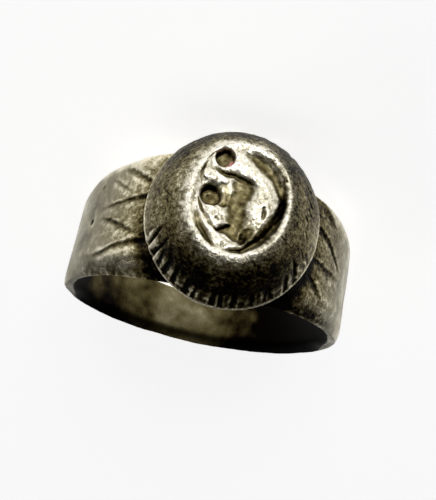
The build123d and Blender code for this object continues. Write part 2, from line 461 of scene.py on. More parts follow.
# Chisel notches
# The foot of the flank is notched all round with the corner of a square graver, some forty radial cuts about
# 0.9 mm apart. They are deep on the side towards the finger's tip and worn to short dashes elsewhere.
NOTCHES = 42
NOTCH_HALF_WIDTH = 0.26
NOTCH_DEPTH = 0.17
FOOT_RADIUS = 5.8

# How far a notch strays, as a share of their spacing, how far it leans, in degrees, and how uneven its depth,
# its reach up the flank and its width are
NOTCH_SEED = 11
NOTCH_STRAY = 0.35
NOTCH_LEAN = 10
DEPTH_LUCK = (0.55, 1.2)
REACH_LUCK = (0.7, 1.2)
WIDTH_LUCK = (0.8, 1.3)

# How deep and how long the notches are, by the angle round the bezel from the ring's right, in degrees
NOTCH_STRENGTH = [
    (0, 0.15), (30, 0.25), (50, 0.55), (95, 0.5), (110, 0.15), (140, 0.05), (200, 0.05), (211, 0.8),
    (225, 0.95), (245, 0.6), (300, 0.55), (320, 0.7), (338, 0.35), (350, 0.15), (360, 0.15),
]

# Deeper cuts and scratches: places across and along the finger from the bezel's middle, half width and depth
GOUGES = [
    [(-4.2, -2.4, 0.14, 0.05), (-4.45, -2.7, 0.24, 0.22), (-4.8, -3.1, 0.2, 0.12)],
    [(-3.65, -3.1, 0.12, 0.06), (-4.0, -3.4, 0.22, 0.24), (-4.45, -3.8, 0.18, 0.16)],
    [
        (4.08, -2.62, 0.1, 0.05), (4.3, -2.82, 0.2, 0.16), (4.42, -3.1, 0.22, 0.19),
        (4.42, -3.36, 0.12, 0.06),
    ],
    [(2.85, -1.85, 0.06, 0.03), (3.1, -1.93, 0.08, 0.06), (3.35, -2.03, 0.06, 0.03)],
    [(1.55, -3.75, 0.08, 0.04), (1.85, -3.92, 0.12, 0.07), (2.15, -3.9, 0.08, 0.04)],
    [(2.05, -3.5, 0.08, 0.04), (2.5, -3.4, 0.1, 0.06)],
    [(-3.0, -3.3, 0.1, 0.06), (-2.7, -3.45, 0.08, 0.03)],
    [(-3.95, 2.2, 0.07, 0.03), (-3.6, 2.75, 0.09, 0.05), (-3.3, 3.1, 0.07, 0.03)],
    [(-4.6, 0.2, 0.07, 0.03), (-4.25, -0.3, 0.08, 0.04), (-4.0, -0.5, 0.06, 0.02)],
    [(4.2, 2.5, 0.1, 0.05), (4.5, 2.25, 0.12, 0.06)],
    [(4.4, 1.65, 0.1, 0.05), (4.72, 1.25, 0.13, 0.08)],
    [(4.5, 0.9, 0.09, 0.05), (4.72, 0.55, 0.1, 0.05)],
    [(4.35, 0.25, 0.1, 0.04), (4.5, 0.05, 0.12, 0.05)],
    [(4.5, -0.7, 0.1, 0.04), (4.7, -1.0, 0.12, 0.06)],
    [(4.4, -1.85, 0.08, 0.04), (4.75, -2.15, 0.1, 0.05)],
]


def cut_notches(points):
    """Cuts the notches into the flank, each with its own lean, length and depth, and then the gouges."""
    luck = np.random.default_rng(NOTCH_SEED)
    ring = (np.hypot(bezel_flat[:, 0], bezel_flat[:, 1]) - 1) / RING_STEP
    up = 1 - np.clip(ring / FLANK_RINGS, 0, 1.1)
    x, y = points[:, 0] - BEZEL_SHIFT, points[:, 1]
    angle = np.degrees(np.arctan2(y / EDGE_HALF_LENGTH, x / EDGE_HALF_WIDTH)) % 360
    on_flank = (ring > 0) & (ring < EDGE_END)
    down = np.zeros(len(points))
    for index in range(NOTCHES):
        middle = 360 * (index + NOTCH_STRAY * luck.uniform(-1, 1)) / NOTCHES
        strength = np.interp(middle % 360, *zip(*NOTCH_STRENGTH)) * luck.uniform(*DEPTH_LUCK)
        lean = luck.uniform(-NOTCH_LEAN, NOTCH_LEAN)
        reach = 0.25 + 0.3 * strength * luck.uniform(*REACH_LUCK)
        # A faint notch is worn to a dash that starts a little way up
        start = 0.02 if strength > 0.3 else luck.uniform(0.05, 0.2)
        away = (angle - middle - lean * up + 180) % 360 - 180
        gap = np.radians(abs(away)) * FOOT_RADIUS
        tall = ease(up, start - 0.08, start) * (1 - ease(up, reach * 0.55, reach))
        half = NOTCH_HALF_WIDTH * (0.6 + 0.6 * strength) * luck.uniform(*WIDTH_LUCK)
        down = np.maximum(down, NOTCH_DEPTH * strength * tall * np.clip(1 - gap / half, 0, 1))
    for gouge in GOUGES:
        share, depth = across_path(np.stack([x, y], 1), np.array(gouge))
        down = np.maximum(down, depth * ease(share, 0, 0.9))
    return points - np.array([vert.normal for vert in bezel.verts]) * (down * on_flank)[:, None]


bezel.normal_update()
reshape(bezel, cut_notches)


# Seal
# The figure sunk in the bezel's face was cut by hand for sealing in wax: a broad crescent beside a sunk
# field, chipped lumps and ridges, grooves along the lip and two drilled pits, all worn smooth.
#
# The forms are laid over one another in this order. A path gives a place across and along the finger, the
# half width there and the height above the lip's top, in mm. side is the share of the half width that slopes,
# and lower widens the side towards the finger's tip.
SEAL_FORMS = {
    "upper_arm": {"side": 0.8, "path": [
        (-2.1, 2.6, 0.5, -0.08), (-1.3, 2.9, 1.0, -0.02), (-0.4, 3.0, 1.0, -0.02), (0.2, 2.8, 0.9, -0.04),
    ]},
    "crescent": {"side": 0.9, "path": [
        (-0.9, 2.45, 0.6, -0.05), (-0.1, 2.4, 0.75, -0.03), (0.6, 2.1, 0.95, 0.02), (1.15, 1.55, 1.2, 0.05),
        (1.45, 0.8, 1.3, 0.06), (1.5, 0.0, 1.3, 0.05), (1.4, -0.7, 1.15, 0.0), (1.2, -1.2, 1.0, -0.12),
        (0.95, -1.8, 0.8, -0.32), (0.65, -2.3, 0.55, -0.46),
    ]},
    "left_lump": {"side": 0.55, "path": [
        (-2.15, 1.45, 0.5, -0.04), (-1.7, 1.42, 0.55, -0.03), (-1.2, 1.2, 0.36, -0.07),
        (-0.72, 1.05, 0.2, -0.14),
    ]},
    "chipped_lump": {"side": 0.5, "path": [
        (-1.85, -0.85, 0.25, -0.12), (-1.4, -1.0, 0.52, -0.06), (-1.1, -1.4, 0.48, -0.06),
        (-0.92, -1.8, 0.28, -0.12), (-0.88, -2.1, 0.12, -0.24),
    ]},
    "lump_side": {"side": 0.4, "path": [
        (-0.78, -0.75, 0.18, -0.2), (-0.62, -1.1, 0.26, -0.16), (-0.52, -1.5, 0.14, -0.22),
    ]},
    "inner_ridge": {"side": 0.8, "path": [
        (-2.55, -0.4, 0.16, -0.1), (-2.2, -1.2, 0.3, -0.06), (-1.75, -1.8, 0.34, -0.05),
        (-1.12, -2.38, 0.34, -0.06), (-0.5, -2.78, 0.34, -0.1), (0.1, -3.02, 0.3, -0.1),
        (0.75, -2.98, 0.24, -0.14),
    ]},
    "sunk_field": {"side": 0.72, "path": [
        (-0.1, 1.05, 0.68, -0.36), (0.42, 1.06, 0.74, -0.38), (0.13, 0.5, 0.9, -0.38),
        (-0.12, -0.15, 0.94, -0.36), (0.05, -0.6, 0.8, -0.36), (0.12, -1.1, 0.74, -0.36),
        (0.15, -1.6, 0.62, -0.38), (0.05, -2.0, 0.46, -0.4),
    ]},
    "field_foot": {"side": 0.6, "path": [
        (-0.8, -2.14, 0.1, -0.36), (-0.45, -2.0, 0.32, -0.42), (-0.15, -1.9, 0.5, -0.42),
        (0.25, -2.38, 0.28, -0.4),
    ]},
    "beside_lower_pit": {"side": 0.6, "path": [
        (-1.05, 0.72, 0.46, -0.24), (-0.95, 0.2, 0.46, -0.3), (-0.9, -0.3, 0.38, -0.36),
    ]},
    "step_to_field": {"side": 1.0, "path": [
        (-0.7, 1.1, 0.2, -0.2), (-0.62, 0.6, 0.24, -0.26), (-0.66, 0.05, 0.2, -0.35),
    ]},
    "groove_under_upper_arm": {"side": 0.7, "lower": 2.0, "path": [
        (-1.85, 2.05, 0.08, -0.16), (-1.5, 1.84, 0.14, -0.3), (-1.05, 1.68, 0.17, -0.38),
        (-0.6, 1.78, 0.14, -0.42), (-0.2, 1.64, 0.16, -0.42), (0.2, 1.52, 0.13, -0.4),
        (0.55, 1.46, 0.08, -0.36), (0.75, 1.36, 0.05, -0.34),
    ]},
    "groove_top_right": {"side": 1.0, "path": [
        (0.0, 3.3, 0.2, -0.2), (0.5, 3.15, 0.56, -0.3), (0.95, 2.9, 0.7, -0.35), (1.5, 2.53, 0.68, -0.36),
        (2.0, 2.07, 0.56, -0.34), (2.35, 1.5, 0.42, -0.32), (2.5, 1.1, 0.36, -0.3),
    ]},
    "groove_low_right": {"side": 1.0, "path": [
        (2.55, 1.5, 0.3, -0.3), (2.7, 0.7, 0.34, -0.36), (2.7, 0.0, 0.4, -0.42), (2.42, -0.95, 0.5, -0.48),
        (2.12, -1.5, 0.54, -0.52), (1.78, -2.03, 0.52, -0.52), (1.32, -2.6, 0.42, -0.48),
        (0.92, -3.0, 0.28, -0.38),
    ]},
    "groove_bottom": {"side": 1.0, "path": [
        (1.0, -3.08, 0.22, -0.38), (0.3, -3.27, 0.26, -0.32), (-0.3, -3.3, 0.1, -0.15),
    ]},
    "groove_top_left": {"side": 0.9, "path": [
        (-2.3, 2.2, 0.06, -0.14), (-2.46, 1.75, 0.1, -0.22), (-2.53, 1.3, 0.1, -0.22),
        (-2.4, 0.7, 0.1, -0.22),
    ]},
    "groove_beside_ridge": {"side": 0.9, "path": [
        (-2.4, -0.3, 0.08, -0.28), (-2.18, -0.8, 0.12, -0.36), (-1.88, -1.2, 0.1, -0.26),
        (-1.58, -1.62, 0.07, -0.2), (-1.2, -1.96, 0.07, -0.22),
    ]},
    "groove_under_lump": {"side": 0.9, "path": [
        (-1.5, -1.8, 0.06, -0.24), (-1.2, -1.97, 0.08, -0.3), (-0.87, -2.2, 0.1, -0.4),
        (-0.64, -1.9, 0.07, -0.34),
    ]},
    "groove_low_left": {"side": 1.0, "path": [
        (-2.45, -0.9, 0.12, -0.12), (-2.25, -1.6, 0.24, -0.26), (-1.95, -2.15, 0.28, -0.33),
        (-1.55, -2.62, 0.28, -0.37), (-1.2, -3.0, 0.22, -0.35), (-0.85, -3.2, 0.12, -0.18),
    ]},
    "nick_at_bottom": {"side": 1.0, "path": [(-0.48, -2.85, 0.16, -0.18), (-0.42, -3.2, 0.14, -0.16)]},
    "nick_in_crescent": {"side": 0.5, "path": [
        (1.6, -0.12, 0.08, -0.14), (1.7, -0.46, 0.18, -0.32), (1.68, -0.78, 0.12, -0.26),
    ]},
    "scratch_in_crescent": {"side": 1.0, "path": [
        (1.45, -0.92, 0.08, -0.04), (1.8, -0.98, 0.1, -0.1), (2.05, -1.0, 0.07, -0.2),
    ]},
    "pit_in_lump": {"side": 1.0, "path": [(-1.08, -1.36, 0.12, -0.24), (-0.94, -1.46, 0.1, -0.26)]},
    "scratch_in_lump": {"side": 1.0, "path": [(-1.03, -0.72, 0.09, -0.2), (-0.95, -1.15, 0.1, -0.2)]},
}

# The two drilled pits, each a wide step with a deeper one inside it
UPPER_PIT = (-1.3, 2.74)
DRILLED = [
    {"middle": (-1.7, 0.14), "radius": 0.86, "height": -0.52, "side": 0.6},
    {"middle": (-1.68, 0.0), "radius": 0.68, "height": -0.58, "side": 0.14},
    {"middle": (-1.66, -0.08), "radius": 0.38, "height": -0.62, "side": 0.08},
    {"middle": UPPER_PIT, "radius": 0.66, "height": -0.56, "side": 0.13},
    {"middle": (-1.32, 2.68), "radius": 0.38, "height": -0.59, "side": 0.08},
]
SEAL_BASE = -0.17

# Places where the figure is chipped: the middle, the reach and the size of the chips
CHIPPED = [
    ((-1.1, -1.25), 0.7, 0.14), ((0.55, -2.85), 0.5, 0.1), ((0.8, -1.9), 0.7, 0.08),
    ((-2.2, 1.9), 0.4, 0.05),
]

# How far the cutter's hand wandered, across and along the finger, and how uneven the worn metal is, in layers
WANDER_ACROSS = [(0.035, 0.45, 7), (0.03, 0.2, 17)]
WANDER_ALONG = [(0.035, 0.45, 8), (0.03, 0.2, 18)]
GRIT = [(0.025, 0.4, 19), (0.02, 0.2, 20)]

# Inside its crest the lip rounds over a little and then goes down in a wall, a longer one at the lower right
ROUND_OVER = 0.3
ROUND_DROP = 0.1
WALL_START = 0.1
WALL_END = 0.5
LONGER_WALL = 0.55
WALL_DROP = 0.9


def rounded(path):
    """The same path with its corners cut off twice, so that it curves."""
    path = np.array(path, float)
    for again in range(2):
        first = 0.75 * path[:-1] + 0.25 * path[1:]
        second = 0.25 * path[:-1] + 0.75 * path[1:]
        inner = np.stack([first, second], 1).reshape(-1, path.shape[1])
        path = np.concatenate([path[:1], inner, path[-1:]])
    return path


def seal_height(places):
    """The height of the face over the lip's top at each place across and along the finger."""
    u, v = places.T
    from_lip = lip_radius(np.arctan2(v, u)) - np.hypot(u, v)
    height = SEAL_BASE * ease(from_lip, 0.05, 0.7)
    for form in SEAL_FORMS.values():
        share, level = across_path(places, rounded(form["path"]), form.get("lower", 1.0))
        height = height + (level - height) * ease(share, 0, form["side"])
    flat_places = np.stack([u, v, np.zeros(len(u))], 1)
    for middle, reach, size in CHIPPED:
        near = np.exp(-((u - middle[0]) ** 2 + (v - middle[1]) ** 2) / reach**2)
        height = height + near * size * rough(flat_places, 0.42, 9)
    for pit in DRILLED:
        gap = np.hypot(u - pit["middle"][0], v - pit["middle"][1])
        share = 1 - ease(gap, pit["radius"] - pit["side"], pit["radius"])
        height = height + (pit["height"] - height) * share
    wall_end = WALL_END + LONGER_WALL * ease(u, 0.6, 1.6) * ease(-v, -0.4, 1.2)
    inner_wall = -ROUND_DROP * np.clip(from_lip / ROUND_OVER, 0, 1) ** 2
    inner_wall = inner_wall - WALL_DROP * ease(from_lip, WALL_START, wall_end)
    return np.maximum(height, inner_wall)


def sink_seal(points):
    """Sinks the seal's figure into the face, inside the lip."""
    on_face = np.hypot(bezel_flat[:, 0], bezel_flat[:, 1]) < 1.0001
    places = points[:, :2] - (BEZEL_SHIFT, LIP_SHIFT)
    wander = np.stack([layered(points, WANDER_ACROSS), layered(points, WANDER_ALONG)], 1)
    height = seal_height(places + wander) + layered(points, GRIT)
    points[:, 2] += np.where(on_face, height, 0)
    return points


reshape(bezel, sink_seal)
face = [vert for vert, flat in zip(bezel.verts, bezel_flat) if math.hypot(flat[0], flat[1]) < 1.1]
bmesh.ops.smooth_vert(bezel, verts=face, factor=0.5, use_axis_x=True, use_axis_y=True, use_axis_z=True)


# Soldered joint and wear
# The bezel's neck is soldered to the band, so the two are one piece of metal. Long wear has dented and
# softened all of it, and polish, grime and tarnish lie where a finger did or didn't rub. Painted shade and
# painted highlights are laid in with the grime.
SOLDER_ROUNDS = 12
FINE_ROUNDS = 12
BROAD_ROUNDS = 90
FINE_HOLLOW = 0.03
BROAD_HOLLOW = 0.12

# Dents all over the outside, in layers, and the height of the small ones, which are higher beside the bezel
DENTS = [(0.035, 1.9, 1), (0.02, 0.7, 2)]
SMALL_DENTS = 0.008
BESIDE_BEZEL = 0.012


def make_piece(name, bm):
    """A mesh object in the scene from a bmesh, still on the ring's axes."""
    mesh = bpy.data.meshes.new(name)
    bm.to_mesh(mesh)
    piece = bpy.data.objects.new(name, mesh)
    bpy.context.scene.collection.objects.link(piece)
    return piece


band_piece = make_piece("band", band)
bezel_piece = make_piece("bezel", bezel)
solder = band_piece.modifiers.new("solder", "BOOLEAN")
solder.operation = "UNION"
solder.solver = "MANIFOLD"
solder.object = bezel_piece
joined = bpy.data.meshes.new_from_object(band_piece.evaluated_get(bpy.context.evaluated_depsgraph_get()))
bpy.data.objects.remove(band_piece)
bpy.data.objects.remove(bezel_piece)
ring = bmesh.new()
ring.from_mesh(joined)


def soften_joint(bm):
    """Smooths the solder into a small fillet where the neck meets the band."""
    seam = []
    for vert in bm.verts:
        x, y, z = vert.co
        across, along = (x - BEZEL_SHIFT) / NECK_HALF_WIDTH, y / NECK_HALF_LENGTH
        below = band_outside(math.atan2(x, z)) - math.hypot(x, z)
        if 0.88 < math.hypot(across, along) < 1.12 and abs(below) < 0.3:
            seam.append(vert)
    for again in range(SOLDER_ROUNDS):
        bmesh.ops.smooth_vert(bm, verts=seam, factor=0.5, use_axis_x=True, use_axis_y=True, use_axis_z=True)


def dent(points):
    """Shifts the surface in and out a little, as handling and polishing have done, but not in the bore."""
    ring.normal_update()
    normals = np.array([vert.normal for vert in ring.verts])
    outside = ease(np.hypot(points[:, 0], points[:, 2]) - BORE, 0.1, 0.5)
    around_bezel = ease(points[:, 2], 4, 7) * (1 - ease(np.hypot(*(points[:, :2] / 6.2).T), 1.1, 1.4))
    small = (SMALL_DENTS + BESIDE_BEZEL * around_bezel) * rough(points, 0.3, 4)
    return points + normals * ((layered(points, DENTS) + small) * outside)[:, None]


def hollowness(points, normals, ends, rounds):
    """How far each vertex lies below the surface averaged over its neighbours, many rounds of them."""
    smooth = points
    near = np.concatenate([ends, ends[:, ::-1]])
    count = np.bincount(near[:, 0], minlength=len(points))
    for again in range(rounds):
        sums = [np.bincount(near[:, 0], smooth[near[:, 1], axis], len(points)) for axis in range(3)]
        smooth = np.stack(sums, 1) / count[:, None]
    return ((smooth - points) * normals).sum(1)


def by_place(outside, face, bore):
    """One value on the ring's outside, another on the seal's face and a third in the bore."""
    return np.where(in_bore, bore, np.where(on_face, face, outside))


soften_joint(ring)
reshape(ring, dent)
ring.normal_update()
places = np.array([vert.co for vert in ring.verts])
normals = np.array([vert.normal for vert in ring.verts])
ends = np.array([[vert.index for vert in edge.verts] for edge in ring.edges])
x, y, z = places.T

# Where each vertex lies on the ring: yes or no, or a share that fades out at the place's end
outward = (x * normals[:, 0] + z * normals[:, 2]) / np.hypot(x, z)
in_bore = (np.hypot(x, z) < BAND_TOP) & (z < BAND_TOP) & (outward < -0.3)
on_bezel = ease(z, EDGE_UNDER, EDGE_UNDER + 0.05)
on_band = (1 - on_bezel) * ~in_bore
fan = on_band * ease(z, 4, 6)
from_rim = from_front_rim(y, z)
from_edge = np.hypot((x - BEZEL_SHIFT) / EDGE_HALF_WIDTH, y / EDGE_HALF_LENGTH)
seal_x, seal_y = x - BEZEL_SHIFT, y - LIP_SHIFT
around = np.arctan2(seal_y, seal_x)
from_lip = np.hypot(seal_x, seal_y) - lip_radius(around)
on_face = (from_lip < 0) & (z > LIP_TOP - 1.3)
flank = on_bezel * ease(from_lip, -0.2, 1.1)
under_lip = LIP_TOP - z

# Grime goes from 0, bare rubbed silver, to 1, black, and painted shade and painted light are carried in it
# too. There is an even share of it all over, more in hollows and less on what stands out. The lines below add
# to it where the ring is sheltered or shade is painted, and take from it where a finger, cloth or wax has
# rubbed or light is painted.
EVEN_GRIME = 0.56
fine = np.clip(hollowness(places, normals, ends, FINE_ROUNDS) / FINE_HOLLOW, -1, 1)
broad = np.clip(hollowness(places, normals, ends, BROAD_ROUNDS) / BROAD_HOLLOW, -1, 1)
spots = rough(places, 0.35, 12)
specks = rough(places, 0.15, 15)
grime_and_painted_light = EVEN_GRIME + 0.08 * fine + 0.18 * broad

# The band from its outer turns to the shoulders, lighter or darker in broad steps from left to right
grime_and_painted_light = grime_and_painted_light + 0.14 * ease(-x, 7, 9) - 0.08 * ease(-x, 4.5, 6)
grime_and_painted_light = grime_and_painted_light + on_band * (0.15 * ease(x, 4, 5.5) - 0.16 * ease(x, 6.8, 9))
grime_and_painted_light = grime_and_painted_light + 0.03 * on_band * (x < 0) * ease(-y, 1.5, 3.5)

# The fan of strokes: bare ridges, painted shade on the upper walls and painted light on the lower ones, and a
# bare line below the dirt at the front rim
middle = 1 - ease(abs(y) - band_half_width(z), -1.4, -1.0)
stroke_wall_light_and_shade = ease(-normals[:, 1], 0.08, 0.35) - ease(normals[:, 1], 0.08, 0.3)
rim_dirt = fan * np.exp(-((from_rim - 0.1) / 0.4) ** 2)
grime_and_painted_light = grime_and_painted_light + 0.2 * fan * (middle * stroke_wall_light_and_shade - np.clip(-0.15 - fine, 0, 1))
grime_and_painted_light = grime_and_painted_light + rim_dirt * (0.2 + 0.5 * spots + 0.3 * specks + 0.2 * ease(x, 0, 5))
grime_and_painted_light = grime_and_painted_light - 0.4 * fan * (from_rim < 0.03) * ease(x, 3, 6)

# The wedge under the bezel's edge, which nothing rubs, darkened with painted shadow and tarnish, and what
# lies beside it: more painted shadow at the top right, and mottled grime near the bezel
shade_wedge = fan * (1 - ease(from_edge + 0.05 * spots, 1.0, 1.18))
top_right_shade = fan * (x > 0) * ease(y, 0.8, 2.8) * (1 - ease(from_edge + 0.08 * spots, 1.04, 1.3))
near_bezel = fan * (1 - ease(from_edge, 1.1, 1.6))
grime_and_painted_light = grime_and_painted_light + shade_wedge * (0.2 + 0.15 * (x > 0) + 0.5 * ease(-y, 0, 3.6)) + 0.25 * top_right_shade
grime_and_painted_light = grime_and_painted_light + 0.2 * spots * near_bezel * on_band

# The flank, tarnished and streaked, with painted shade that darkens both its sides along the finger, most
# towards the finger's tip, and with a rubbed edge and rubbed ridges at its foot
streaks = rough(np.stack([np.degrees(around) / 6, from_lip / 1.6, 0 * x], 1), 1.0, 22)
bare_edge = on_bezel * (z < EDGE_OVER + 0.1) * ease(from_edge, 0.98, 0.995)
ridges = on_bezel * (1 - ease(z, EDGE_OVER + 0.5, EDGE_OVER + 1.1)) * np.clip(-fine - 0.25, 0, 1)
grime_and_painted_light = grime_and_painted_light + flank * (0.18 + 0.24 * ease(y, 1, 4) + 0.37 * ease(-y, 1.5, 4.8))
grime_and_painted_light = grime_and_painted_light + flank * (0.12 * fine + 0.07 * streaks)
grime_and_painted_light = grime_and_painted_light - 0.2 * bare_edge - (0.7 + 0.3 * (x < 0)) * ridges * ease(-y, 1, 3)

# The lip's crest, worn bright and widest on the left and towards the finger's tip, with a mottled painted
# highlight as a halo outside it on the left and a dark line beside it on the right
left_side = 1 - ease(seal_x, 0.5, 2.4)
crest_reach = 0.05 + 0.24 * left_side + 0.4 * ease(-seal_y, 2, 3.4)
crest = (1 - ease(from_lip / crest_reach, -0.6, 1)) * on_bezel * ~on_face
painted_halo_light = (1 - ease(from_lip, 0.2, 2.0)) * left_side * on_bezel * ~on_face
dark_line = on_bezel * ease(from_lip, 0.02, 0.12) * (1 - ease(from_lip, 0.3, 0.9)) * ease(seal_x, 1, 2.6)
grime_and_painted_light = grime_and_painted_light - (0.38 - 0.3 * spots) * crest - (0.22 - 0.28 * spots) * painted_halo_light + 0.03 * flank * left_side
grime_and_painted_light = grime_and_painted_light + 0.24 * dark_line * ease(seal_y, -2.6, -1.2)

# The seal: little grime on what stands up and more in the sunk field, painted shade on the walls in the lee
# of the forms and on the slopes facing right, and most, painted shade with grime, in the crevice along the
# lip on the right
sunk = ease(under_lip, 0.14, 0.34)
deep = ease(under_lip, 0.46, 0.54)
lee_wall_shade = ease(0.45 * normals[:, 0] - 0.9 * normals[:, 1], 0.25, 0.75)
right_facing_shade = ease(normals[:, 0], 0.15, 0.5) * ease(seal_x, 1, 2)
low_right = ease(seal_x, 0.8, 1.6) * ease(-seal_y, 0, 1)
crevice = np.exp(-((from_lip + 0.32 + 0.5 * ease(-seal_y, -0.4, 1.5)) / 0.13) ** 2) * ease(seal_x, 0.4, 1.6)
face_grime_and_shade = 0.1 + 0.16 * right_facing_shade + (0.45 - 0.18 * low_right) * sunk + 0.04 * deep + 0.14 * fine
face_grime_and_shade = face_grime_and_shade + (0.6 - 0.4 * low_right) * lee_wall_shade * (0.3 + 0.7 * sunk)
face_grime_and_shade = face_grime_and_shade + (0.15 - 0.08 * low_right) * spots + crevice * (0.22 + 0.26 * ease(-seal_y, -1.2, 0))

# Speckled grime on the lip's inner slopes, and painted shade with speckled grime on the low tail of the
# crescent
right_slope = ease(seal_x, 1.2, 2.2) * ease(-from_lip, 0.02, 0.16) * (1 - ease(-from_lip, 0.5, 0.75))
left_slope = ease(-seal_x, 1.2, 2.2) * ease(-from_lip, 0.06, 0.2) * (1 - ease(-from_lip, 0.3, 0.45))
shaded_tail = ease(seal_x, 0.3, 0.9) * ease(-seal_y, 0.7, 1.6) * (1 - 0.6 * sunk) * ease(-from_lip, 0.5, 0.7)
face_grime_and_shade = face_grime_and_shade + right_slope * (0.24 + 0.3 * spots + 0.2 * specks)
face_grime_and_shade = face_grime_and_shade + left_slope * (0.16 + 0.2 * spots)
face_grime_and_shade = face_grime_and_shade + shaded_tail * (0.26 + 0.3 * spots + 0.15 * rough(places, 0.15, 21))

# The bore, in broad blots of tarnish, is cleanest at the palm's middle, and painted shade makes it black on
# the right and darker on the left and towards the front rim
BLOTS = [(1.0, 1.4, 13), (0.6, 0.6, 16)]
blots = layered(places, BLOTS)
bore_tarnish_and_shade = 0.46 + 0.42 * ease(x + 0.4 * blots, 0.5, 3.8) + 0.5 * ease(x + 0.5 * blots, 4, 8) + 0.2 * blots
bore_tarnish_and_shade = bore_tarnish_and_shade + 0.2 * ease(-x, 2, 4.5) + 0.12 * ease(-x, 4, 8) + 0.25 * ease(-y, 0.6, 2.2)
grime_and_painted_light = by_place(grime_and_painted_light, face_grime_and_shade, bore_tarnish_and_shade)

# An oily brown film yellows the sheltered places, and the flank and the dirty places are pitted most
olive = 0.12 * on_band + 0.6 * near_bezel + 0.4 * rim_dirt + 0.65 * flank
olive = by_place(olive, 0.15 + 0.45 * sunk, 0.65)
pitted = 0.2 * on_band + 0.3 * fan * ease(x, 5, 7) + 0.7 * near_bezel + 0.5 * rim_dirt + 1.25 * on_bezel
pitted = by_place(pitted, 0.8 - 0.5 * sunk, 0.15)

# A remnant of sealing wax clings to the wall of the upper pit, between these angles and distances
WAX_FROM, WAX_TO = -72, 8
WAX_INNER, WAX_OUTER = 0.33, 0.7
wax_x, wax_y = seal_x - UPPER_PIT[0], seal_y - UPPER_PIT[1]
wax_turn = np.degrees(np.arctan2(wax_y, wax_x))
wax_out = np.hypot(wax_x, wax_y)
wax = ease(wax_out, WAX_INNER, 0.4) * (wax_out < WAX_OUTER) * ease(under_lip, 0.1, 0.2) * on_face
wax = wax * (wax_turn > WAX_FROM) * (wax_turn < WAX_TO)

reshape(ring, lambda points: np.array([ring_to_part @ Vector(point) for point in points]))
silver_ring = make_piece("silver_ring", ring)
mesh = silver_ring.data
mesh.polygons.foreach_set("use_smooth", [True] * len(mesh.polygons))
# The grime attribute also carries painted shade and painted light
for name, values in (("grime_and_painted_light", grime_and_painted_light), ("olive", olive), ("pitted", pitted), ("wax", wax)):
    mesh.attributes.new(name, "FLOAT", "POINT").data.foreach_set("value", values.astype(np.float32))


# Old silver
# Hand-worked silver of about 900 parts in 1000, long worn and never polished: cream white where it is rubbed
# or light is painted, warm grey on the flats, olive to near black where grime, tarnish and painted shade lie,
# and finely pitted all over.
SHADES = [
    (0, "#f8f3e4"), (0.2, "#d6d0bb"), (0.4, "#98937e"), (0.6, "#706b57"), (0.8, "#403b2b"),
    (0.92, "#211a11"), (1, "#070504"),
]
BROWN_FILM = "#ffefb2"
SEALING_WAX = "#c98a84"

# The patterns, by how many there are in a millimetre: blotches of tarnish nearly 2 mm across, speckles of
# 0.2 mm, pits 0.2 mm apart and, between them, a grain of about 0.1 mm
BLOTCHES_PER_MM = 0.55
SPECKLES_PER_MM = 5.0
PITS_PER_MM = 5.2
GRAINS_PER_MM = 8.6
PIT_DIRT = 0.28
RELIEF_METRES = 0.00006


def linear(colour):
    """A colour written as sRGB hex, as the linear red, green, blue and alpha that the shader reads."""
    parts = [int(colour[at:at + 2], 16) / 255 for at in (1, 3, 5)]
    return [part / 12.92 if part <= 0.04045 else ((part + 0.055) / 1.055) ** 2.4 for part in parts] + [1]


def add_node(material, kind, settings=None, inputs=None):
    """Adds a node. inputs gives, by socket, another node's output to link or a plain value to set."""
    tree = material.node_tree
    node = tree.nodes.new(kind)
    for name, value in (settings or {}).items():
        setattr(node, name, value)
    for socket, value in (inputs or {}).items():
        if isinstance(value, bpy.types.NodeSocket):
            tree.links.new(value, node.inputs[socket])
        else:
            node.inputs[socket].default_value = value
    return node


silver = bpy.data.materials.new("old_silver")
silver.use_nodes = True
shader = silver.node_tree.nodes["Principled BSDF"]
coordinates = add_node(silver, "ShaderNodeTexCoord")
in_mm = add_node(silver, "ShaderNodeMapping", inputs={
    "Vector": coordinates.outputs["Object"], "Scale": (1000, 1000, 1000)
})
# The grime map among these also carries painted shade and painted light
worn = {
    name: add_node(silver, "ShaderNodeAttribute", {"attribute_name": name}).outputs["Fac"]
    for name in ("grime_and_painted_light", "olive", "pitted", "wax")
}

# The tarnish is cloudy and, where the silver is pitted, speckled
blotches = add_node(silver, "ShaderNodeTexNoise", inputs={
    "Vector": in_mm.outputs["Vector"], "Scale": BLOTCHES_PER_MM, "Detail": 4, "Roughness": 0.6
})
blotch_shift = add_node(silver, "ShaderNodeMapRange", inputs={
    "Value": blotches.outputs["Fac"], "From Min": 0.25, "From Max": 0.75, "To Min": -0.15, "To Max": 0.15
})
speckle = add_node(silver, "ShaderNodeTexNoise", inputs={
    "Vector": in_mm.outputs["Vector"], "Scale": SPECKLES_PER_MM, "Detail": 3, "Roughness": 0.7
})
speckle_shift = add_node(silver, "ShaderNodeMapRange", inputs={
    "Value": speckle.outputs["Fac"], "From Min": 0.25, "From Max": 0.75, "To Min": -0.3, "To Max": 0.3
})
speckle_here = add_node(silver, "ShaderNodeMath", {"operation": "MULTIPLY"}, {
    0: speckle_shift.outputs["Result"], 1: worn["pitted"]
})
clouded = add_node(silver, "ShaderNodeMath", {"operation": "ADD"}, {
    0: worn["grime_and_painted_light"], 1: blotch_shift.outputs["Result"]
})
specked = add_node(silver, "ShaderNodeMath", {"operation": "ADD"}, {
    0: clouded.outputs[0], 1: speckle_here.outputs[0]
})

